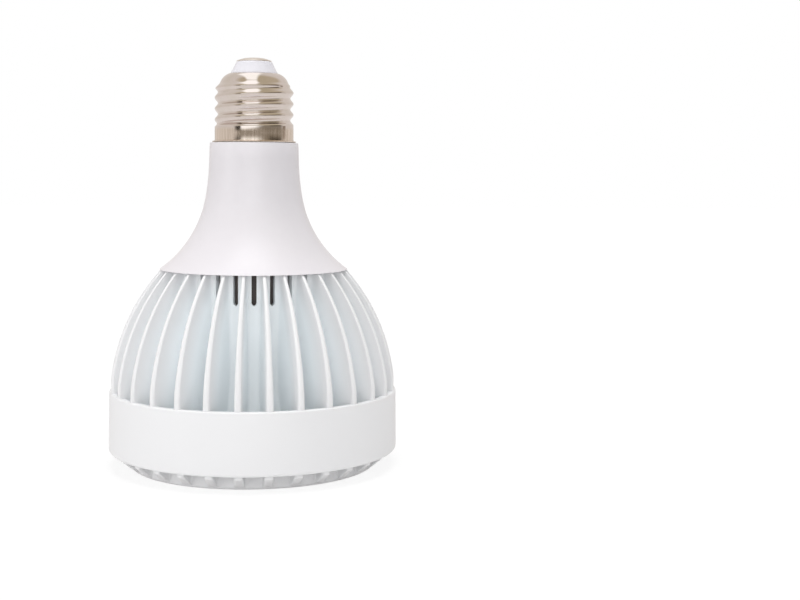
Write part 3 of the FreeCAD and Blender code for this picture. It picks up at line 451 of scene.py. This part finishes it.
refinish(plain_finish("thermal_silicone", (0.5, 0.52, 0.55), 0.7, 0.3 * mm), "thermal_pad")
refinish(plain_finish("source_plate_aluminium", (0.82, 0.82, 0.81), 0.35, 0.3 * mm, metallic=1.0),
         "cob_substrate")
refinish(plain_finish("phosphor_silicone", (0.95, 0.74, 0.12), 0.55, 0.25 * mm), "cob_phosphor")
refinish(plain_finish("holder_moulding", (0.86, 0.86, 0.83), 0.5, 0.5 * mm), "cob_holder")
refinish(plain_finish("zinc_plated_steel", (0.72, 0.72, 0.70), 0.32, 0.4 * mm, metallic=1.0),
         "holder_screws", "housing_screws")

# Driver
# The board with its components stands in a dark moulded cup inside the core and reaches up the neck.
# Insulated leads run from it to the cap and down to the light source.

refinish(plain_finish("dark_moulding", (0.10, 0.085, 0.08), 0.55, 0.6 * mm), "driver_tub")
refinish(plain_finish("circuit_board", (0.06, 0.22, 0.10), 0.4, 0.8 * mm, spread=0.3), "driver_board")
refinish(plain_finish("ferrite", (0.07, 0.07, 0.075), 0.6, 0.3 * mm), "transformer_core", "choke_core")
refinish(plain_finish("black_moulding", (0.035, 0.035, 0.035), 0.45, 0.5 * mm), "transformer_bobbin",
         "bridge_rectifier", "output_diode", "switching_transistor", "controller_chip")
refinish(plain_finish("enamelled_copper", (0.62, 0.27, 0.12), 0.35, 0.3 * mm, metallic=0.8, spread=0.4),
         "transformer_winding", "choke_winding")
refinish(plain_finish("capacitor_sleeve", (0.04, 0.06, 0.14), 0.35, 1.0 * mm), "input_capacitor",
         "output_capacitor")
refinish(plain_finish("film_case", (0.72, 0.52, 0.08), 0.4, 0.8 * mm), "film_capacitor")
refinish(plain_finish("resistor_coating", (0.25, 0.45, 0.5), 0.5, 0.4 * mm), "fuse_resistor")
refinish(plain_finish("brown_insulation", (0.16, 0.07, 0.035), 0.5, 0.4 * mm), "live_lead")
refinish(plain_finish("blue_insulation", (0.04, 0.12, 0.4), 0.5, 0.4 * mm), "neutral_lead")
refinish(plain_finish("red_insulation", (0.5, 0.03, 0.02), 0.5, 0.4 * mm), "positive_lead")
refinish(plain_finish("black_insulation", (0.03, 0.03, 0.03), 0.5, 0.4 * mm), "negative_lead")

# Lens
# A clear moulded spot lens: rows of diamond facets on its front, a dished middle over the source, and a
# frosted flange that sits in the front ring behind a beige bead of adhesive.

lens_front = 1.6 * mm
lens_back = 27.2 * mm
lens_flange = 37.3 * mm
lens_barrel = 34.6 * mm
lens_neck = 14.6 * mm
wall_bulge = 2 * mm
wall_steps = 14
well_floor = lens_back - 16 * mm
well_rise = 4.5 * mm
well_dome = 17.46 * mm
well_mouth = 12.4 * mm
well_foot = 11.7 * mm
dish_radius = 14.8 * mm
dish_floor = 4.6 * mm
facets_inner = 18 * mm
facets_outer = 33.5 * mm
facet_columns = 36
facet_rows = 6
facet_depth = 0.45 * mm
ripple_depth = 0.9 * mm
face_step = 0.34 * mm
bead_pitch = 0.57 * mm
bead_depth = 0.05 * mm
lens_outline = [(radius * mm, dish_floor) for radius in (2, 9, 14.3)] + [(dish_radius, lens_front)]
lens_outline += [(dish_radius + face_step * step, lens_front) for step in range(1, 56)]
lens_outline += [(facets_outer + 0.3 * mm, lens_front), (lens_flange - 0.3 * mm, lens_front),
                 (lens_flange, lens_front + 0.3 * mm), (lens_flange, lens_seat), (lens_barrel, lens_seat)]
chord = Vector((lens_neck - lens_barrel, lens_back - lens_seat))
outwards = Vector((chord.y, -chord.x)).normalized()
for step in range(1, wall_steps):
    share = step / wall_steps
    bulge = outwards * 4 * wall_bulge * share * (1 - share)
    lens_outline.append(tuple(Vector((lens_barrel, lens_seat)) + chord * share + bulge))
lens_outline += [(lens_neck, lens_back), (well_mouth, lens_back), (well_foot, well_floor)]
well_axis = well_floor + well_rise - well_dome
lens_outline += [(radius * mm, well_axis + math.sqrt(well_dome ** 2 - (radius * mm) ** 2))
                 for radius in (10, 8, 6, 4, 2, 0)]
lens = lathe("spot_lens", lens_outline, sides=288)

# The facets and the ripple round the dish are pressed into the flat front.
for vertex in lens.data.vertices:
    x, y, z = vertex.co
    radius = math.hypot(x, y)
    in_ring = dish_radius + 0.1 * mm < radius < facets_outer - 0.1 * mm
    if z > lens_front + 0.01 * mm or not in_ring:
        continue
    column = facet_columns * math.atan2(y, x) / (2 * math.pi)
    if radius > facets_inner:
        row = facet_rows * (radius - facets_inner) / (facets_outer - facets_inner)
        pillow = abs(math.cos(math.pi * (column + row)) * math.cos(math.pi * (column - row)))
        sunk = facet_depth * (1 - pillow)
    else:
        ripple = 0.7 + 0.3 * abs(math.cos(2 * math.pi * column))
        share = (radius - dish_radius) / (facets_inner - dish_radius)
        sunk = ripple_depth * ripple * math.sin(math.pi * share)
    vertex.co = (x, y, z + sunk)


def mould_lens():
    """Clear plastic with a frosted flange, and painted light: the yellow source seen through the lens is
    painted into its beaded middle, a ring and its facets, and painted shade into the facets' grooves.
    """
    material, surface, shader = new_finish("lens_plastic", 0.1, transmission_weight=0.7, ior=1.49)
    point = place_on(surface)
    radius = radius_of(surface, point)
    height = height_of(surface, point)
    drift = surface.node("TexNoise", {}, {"Vector": point, "Scale": 1 / (5 * mm), "Detail": 2.0})
    front = 1 - height.between(4.8 * mm, 5.2 * mm)
    wandering = radius + (drift - 0.5) * (6 * mm)
    ring = wandering.between(18.5 * mm, 20.5 * mm) * (1 - wandering.between(25 * mm, 28 * mm))
    middle = 1 - radius.between(14.2 * mm, 14.7 * mm)
    frosted = radius.between(facets_outer, facets_outer + 0.3 * mm) * front
    across = surface.node("SeparateXYZ", {}, {"Vector": point})
    aside = across.other("Y")
    clear = (0.93, 0.93, 0.91, 1)
    # Painted light: these yellows paint in the source as it is seen through the clear plastic.
    painted_source_ring = (0.95, 0.87, 0.42, 1)
    painted_source_middle = (0.95, 0.89, 0.60, 1)
    painted_source_glint = (0.95, 0.85, 0.36, 1)
    painted_groove_shade = (0.64, 0.63, 0.59, 1)
    tint = mix_colours(surface, ring * front, clear, painted_source_ring)
    tint = mix_colours(surface, middle * front, tint, painted_source_middle)
    column = surface.maths("ARCTAN2", aside, across) * (facet_columns / 2)
    row = (radius - facets_inner) * (math.pi * facet_rows / (facets_outer - facets_inner))
    waves = surface.maths("COSINE", column + row) * surface.maths("COSINE", column - row)
    pillow = surface.maths("ABSOLUTE", waves)
    faceted = radius.between(facets_inner, facets_inner + 0.1 * mm) * (1 - frosted) * front
    tint = mix_colours(surface, pillow.between(0.45, 0.8) * faceted * 0.7, tint, painted_source_glint)
    # Painted shade: the grooves between the facets are painted grey.
    tint = mix_colours(surface, (1 - pillow.between(0.0, 0.4)) * faceted, tint, painted_groove_shade)
    join(surface, shader.inputs["Base Color"], tint)
    join(surface, shader.inputs["Roughness"], frosted * 0.35 + 0.06)
    turns = 2 * math.pi / bead_pitch
    beads = surface.maths("SINE", across * turns) * surface.maths("SINE", aside * turns)
    beaded = beads * middle * front
    bump = surface.node("Bump", {}, {"Strength": 1.0, "Distance": bead_depth, "Height": beaded})
    join(surface, shader.inputs["Normal"], bump)
    return material


finish_piece(lens, mould_lens(), "lens", "lens_optic", smooth=32)
refinish(plain_finish("beige_adhesive", (0.62, 0.52, 0.38), 0.6, 0.5 * mm), "lens_seal")

# Neck housing
# One glossy white injection moulding: a bell that sits on the core and carries the cap on its collar.
# Three long screws from the cup's floor hold it.

neck_top = 107 * mm
neck_top_radius = 14.68 * mm
taper_level = 101.7 * mm
taper_radius = 14.78 * mm
waist_level = 89.3 * mm
waist_radius = 15.95 * mm
neck_wall = 2 * mm
collar_top = 111 * mm
collar_foot = 105 * mm
collar_radius = 12.5 * mm
collar_bore = 10.3 * mm
bell_foot = 31.1 * mm
bell_foot_inside = 27.7 * mm


def tangent_arc(start, heading, end, steps):
    """Points of the arc that leaves start along heading and ends at end, and its heading there."""
    chord = end - start
    left = Vector((-heading.y, heading.x))
    radius = chord.length_squared / (2 * chord.dot(left))
    centre = start + left * radius
    turn = 2 * heading.angle_signed(chord, 0)
    spoke = start - centre
    points = [centre + Matrix.Rotation(-turn * step / steps, 2) @ spoke for step in range(1, steps + 1)]
    return points, Matrix.Rotation(-turn, 2) @ heading


def bell(offset, foot):
    """The bell's curve from the cap down to the foot, moved inwards by a wall."""
    top = Vector((neck_top_radius - offset, neck_top))
    taper = Vector((taper_radius - offset, taper_level))
    waist = Vector((waist_radius - offset, waist_level))
    first, heading = tangent_arc(taper, (taper - top).normalized(), waist, 10)
    second, heading = tangent_arc(waist, heading, Vector((foot, sink_top)), 28)
    return [taper, *first, *second]


neck = lathe("bell_neck", [
    (collar_radius, neck_top), (14.3 * mm, neck_top), (14.53 * mm, 106.93 * mm), (14.64 * mm, 106.7 * mm),
    *bell(0, bell_foot), *reversed(bell(neck_wall, bell_foot_inside)), (12.8 * mm, collar_foot),
    (collar_bore, collar_foot), (collar_bore, collar_top), (collar_radius, collar_top)], sides=192)


def mould_white():
    """Glossy white moulding with a faint lilac tinge."""
    material, surface, shader = new_finish("white_moulding", 0.3, specular_ior_level=0.5)
    noise = orange_peel(surface, shader, place_on(surface), 2.5 * mm, 0.01 * mm)
    lilac_white = (0.668, 0.645, 0.668, 1)
    lilac_shade = (0.648, 0.625, 0.648, 1)
    tint = mix_colours(surface, noise, lilac_white, lilac_shade)
    join(surface, shader.inputs["Base Color"], tint)
    join(surface, shader.inputs["Roughness"], noise * 0.08 + 0.26)
    return material


finish_piece(neck, mould_white(), "neck", "neck_housing", smooth=32)

# Screw cap's shell
# A thin nickel-plated brass shell: a hemmed skirt, the rolled knuckle thread and a rolled-in mouth. It is
# pressed over the neck's collar.

skirt_radius = 13.0 * mm
skirt_end = 112.2 * mm
pitch = 3.62 * mm
thread_depth = 1.05 * mm
thread_top = 126.0 * mm
first_crest = 112.7 * mm
crest_width = 0.9
run_in = 1.2 * mm
run_out = 1.4 * mm
shoulder_foot = skirt_radius - thread_depth - 0.25 * mm
shell_wall = 0.4 * mm
rise = 0.2 * mm
rings = round((thread_top - skirt_end) / rise)
skirt = [(radius * mm, height * mm) for radius, height in (
    (13.1, 107.15), (13.6, 107.12), (13.82, 107.22), (13.85, 107.4), (13.72, 107.55), (13.3, 107.62),
    (13.05, 107.75))]
skirt += [(skirt_radius, 108 * mm), (skirt_radius, 110 * mm)]
thread = [(skirt_radius, skirt_end + ring * rise) for ring in range(rings + 1)]
shoulder = [(radius * mm, height * mm) for radius, height in (
    (11.5, 126.3), (11.25, 126.75), (11.05, 127.2), (10.8, 127.7), (10.45, 128.2), (10.0, 128.7),
    (9.45, 129.15), (8.9, 129.5), (8.3, 129.78), (7.9, 129.85), (7.7, 129.75))]
cap = lathe("threaded_shell", skirt + thread + shoulder, sides=144, closed=False)

# The rings between skirt and shoulder are pressed in between the crests of the thread.
for vertex in cap.data.vertices:
    x, y, z = vertex.co
    if not skirt_end < z < thread_top + 0.1 * mm:
        continue
    turn = math.atan2(y, x) / (2 * math.pi)
    wave = (0.5 + 0.5 * math.cos(2 * math.pi * ((z - first_crest) / pitch - turn))) ** crest_width
    grown = min(1, (z - skirt_end) / run_in)
    shrunk = min(1, max(0, (thread_top + 0.2 * mm - z) / run_out))
    depth = thread_depth * (1 - wave) * grown
    target = (skirt_radius - depth) * shrunk + shoulder_foot * (1 - shrunk)
    factor = target / math.hypot(x, y)
    vertex.co = (x * factor, y * factor, z)
bpy.ops.object.modifier_add(type="SOLIDIFY")
cap.modifiers["Solidify"].thickness = shell_wall
bpy.ops.object.modifier_apply(modifier="Solidify")


def plate_nickel():
    """Warm nickel plating: bright on the thread, dulled on the skirt by upright rolling marks."""
    material, surface, shader = new_finish("nickel_plating", 0.2, metallic=1.0)
    point = place_on(surface)
    height = height_of(surface, point)
    stretched = surface.node("Mapping", {}, {"Vector": point, "Scale": (1, 1, 0.03)})
    marks = surface.node("TexNoise", {}, {"Vector": stretched, "Scale": 1 / (0.5 * mm), "Detail": 5.0})
    stains = surface.node("TexNoise", {}, {"Vector": point, "Scale": 1 / (5 * mm), "Detail": 2.0})
    skirt_only = 1 - height.between(skirt_end - 1.2 * mm, skirt_end - 0.2 * mm)
    worn = marks.between(0.38, 0.66) * skirt_only
    nickel = (0.72, 0.655, 0.62, 1)
    warm_nickel = (0.68, 0.625, 0.57, 1)
    light_mark = (0.80, 0.71, 0.63, 1)
    dark_mark = (0.60, 0.52, 0.44, 1)
    bright = mix_colours(surface, stains.between(0.4, 0.7), nickel, warm_nickel)
    dull = mix_colours(surface, marks.between(0.35, 0.65), light_mark, dark_mark)
    join(surface, shader.inputs["Base Color"], mix_colours(surface, skirt_only, bright, dull))
    join(surface, shader.inputs["Roughness"], skirt_only * 0.1 + stains * 0.05 + 0.06)
    bump = surface.node("Bump", {}, {"Strength": 0.35, "Distance": 0.02 * mm, "Height": worn})
    join(surface, shader.inputs["Normal"], bump)
    return material


finish_piece(cap, plate_nickel(), "cap_shell", "screw_shell", smooth=50)

# Insulator and centre contact
# A white moulded cone closes the cap's mouth and carries the eyelet of the live side, a domed disc of
# brass with a solder dimple, crimped through the cone.

cone_edge = 0.55 * mm
disc_edge = 0.2 * mm
cone = [(radius * mm, height * mm) for radius, height in (
    (1.6, 125.5), (8.9, 125.5), (8.9, 126.5), (7.75, 128.7), (7.75, 129.9), (7.6, 130.25), (6.1, 133.2))]
cone += [*quarter((5.55 * mm, 133.2 * mm), cone_edge, 12, 5, 78), (1.6 * mm, 133.75 * mm)]
insulator = lathe("insulating_cone", cone, sides=96)
finish_piece(insulator, plain_finish("insulator_moulding", (0.70, 0.69, 0.735), 0.25, 1.0 * mm),
             "insulator", "contact_insulator")
eyelet = [(1.5 * mm, 127.5 * mm), (1.5 * mm, 133.7 * mm), (5.6 * mm, 133.7 * mm)]
eyelet += quarter((5.6 * mm, 133.9 * mm), disc_edge, -90, 4, 150)
eyelet += [(radius * mm, height * mm) for radius, height in (
    (4.8, 134.4), (3.5, 134.8), (2.3, 134.95), (2.1, 134.88), (1.9, 134.75), (1.5, 134.72), (1.2, 134.8),
    (0.6, 134.88), (0, 134.9))]
contact = lathe("contact_eyelet", eyelet, sides=96)
finish_piece(contact, plain_finish("contact_brass", (0.82, 0.76, 0.70), 0.34, 0.5 * mm, metallic=1.0),
             "contact", "centre_contact", smooth=40)

# Studio
# The camera, a white paper floor under a white sky, the room that the metal mirrors, and four soft lamps.

camera_distance = 450 * mm
camera_height = 98.39 * mm
camera_yaw = math.radians(6.21)
camera_pitch = math.radians(3.409)
camera_roll = math.radians(0.434)
focal_pixels = 1343.4
centre_rise = 50
image_width = 800
sensor_width = 36
upright = Matrix.Rotation(math.pi / 2 - camera_pitch, 3, "X") @ Matrix.Rotation(camera_roll, 3, "Z")
aim = (Matrix.Rotation(-camera_yaw, 3, "Z") @ upright).to_euler()
bpy.ops.object.camera_add(location=(0, -camera_distance, camera_height), rotation=aim)
camera = bpy.context.object
camera.data.sensor_width = sensor_width
camera.data.lens = focal_pixels * sensor_width / image_width
camera.data.shift_y = -centre_rise / image_width
camera.data.clip_start = 0.01
bpy.context.scene.camera = camera

bpy.ops.mesh.primitive_plane_add(size=6)
floor = bpy.context.object
floor.name = "studio_floor"
shown_white = 0.82


def floor_finish():
    """Matt white paper. The camera and the metal see it white, with the object's shadow left near it."""
    material, surface, shader = new_finish("white_paper", 0.8)
    shader.inputs["Base Color"].default_value = (0.88, 0.88, 0.88, 1)
    point = place_on(surface)
    fibres = surface.node("TexNoise", {}, {"Vector": point, "Scale": 900.0})
    camera_ray = surface.node("LightPath")
    mirrored = camera_ray.other("Is Glossy Ray")
    paper_white = (1, 1, 1, 1)
    mirrored_paper = (0.84, 0.80, 0.78, 1)
    seen = mix_colours(surface, mirrored, paper_white, mirrored_paper)
    glow = surface.node("Emission", {}, {"Strength": 1.04, "Color": seen})
    shown = surface.maths("MAXIMUM", camera_ray, mirrored)
    whiter = shown_white + radius_of(surface, point).between(0.12, 0.5) * (1 - shown_white)
    both = surface.node("MixShader", {}, {0: shown * whiter, 2: glow})
    surface.tree.links.new(shader.outputs[0], both.socket.node.inputs[1])
    join(surface, material.node_tree.nodes["Material Output"].inputs["Surface"], both)
    join(surface, shader.inputs["Roughness"], fibres * 0.1 + 0.75)
    return material


floor.data.materials.append(floor_finish())

world = bpy.data.worlds.new("studio_world")
bpy.context.scene.world = world
world.use_nodes = True
air = Link(world.node_tree)
background = world.node_tree.nodes["Background"]
camera_ray = air.node("LightPath")
through = camera_ray.other("Is Transmission Ray")
mirrored = camera_ray.other("Is Glossy Ray")
room_light = 0.52

# The room by direction: across to the right, back, rising, and ahead towards the camera. The walls and the
# ceiling come first, then the softbox overhead, black flags, a dark post, and the softbox in front.
across = air.node("SeparateXYZ", {}, {"Vector": air.node("TexCoord", output="Generated")})
back = across.other("Y")
rising = across.other("Z")
ahead = across * 0.33 - back * 0.94
lit_wall = (0.80, 0.75, 0.71, 1)
dark_room = (0.30, 0.26, 0.21, 1)
ceiling = (0.58, 0.51, 0.39, 1)
flag_black = (0.05, 0.04, 0.03, 1)
post_brown = (0.32, 0.26, 0.21, 1)
softbox_white = (1.4, 1.4, 1.4, 1)
sky_white = (1, 1, 1, 1)
room = mix_colours(air, ahead.between(0.2, 0.45), lit_wall, dark_room)
room = mix_colours(air, rising.between(0.45, 0.6) * ahead.between(-0.2, 0.1), room, ceiling)
overhead = rising.between(0.76, 0.84) * across.between(-0.4, -0.3) * (1 - across.between(0.08, 0.18))
room = mix_colours(air, overhead, room, softbox_white)
low = rising.between(0.12, 0.16) * (1 - rising.between(0.3, 0.4))
left_flag = across.between(-0.86, -0.78) * (1 - across.between(-0.66, -0.58))
flags = (left_flag + across.between(0.64, 0.76)) * low * (0 - back).between(0.0, 0.08)
room = mix_colours(air, flags, room, flag_black)
post = across.between(0.9, 0.94) * back.between(0.0, 0.06) * (1 - back.between(0.2, 0.28))
room = mix_colours(air, post * (1 - rising.between(0.1, 0.2)), room, post_brown)
softbox = rising.between(0.14, 0.2) * (1 - rising.between(0.42, 0.5)) * ahead.between(0.2, 0.3)
softbox = softbox * across.between(-0.66, -0.58) * (1 - across.between(0.08, 0.5))
room = mix_colours(air, softbox, room, softbox_white)
join(air, background.inputs["Color"], mix_colours(air, mirrored, sky_white, room))
shown = air.maths("MAXIMUM", camera_ray, through)
strength = air.maths("MAXIMUM", shown, mirrored)
join(air, background.inputs["Strength"], air.maths("MAXIMUM", strength, room_light))
bulb_middle = (0, 0, 60 * mm)


def soft_lamp(name, place, size, power):
    """A square softbox that faces the bulb's middle; the metal mirrors the room instead."""
    way = Vector(bulb_middle) - Vector(place)
    aim = way.to_track_quat("-Z", "Y").to_euler()
    bpy.ops.object.light_add(type="AREA", location=place, rotation=aim)
    lamp = bpy.context.object
    lamp.name = name
    lamp.visible_glossy = False
    lamp.data.size = size
    lamp.data.energy = power


soft_lamp("softbox_front", (-0.1, -1.2, 0.3), size=0.7, power=3.0)
soft_lamp("softbox_left", (-1.0, -0.5, 0.3), size=0.6, power=2.95)
soft_lamp("softbox_right", (1.0, -0.5, 0.3), size=0.6, power=0.75)
soft_lamp("softbox_top", (0.01, -0.1, 0.9), size=0.5, power=5.2)

bpy.context.scene.view_settings.view_transform = "Standard"
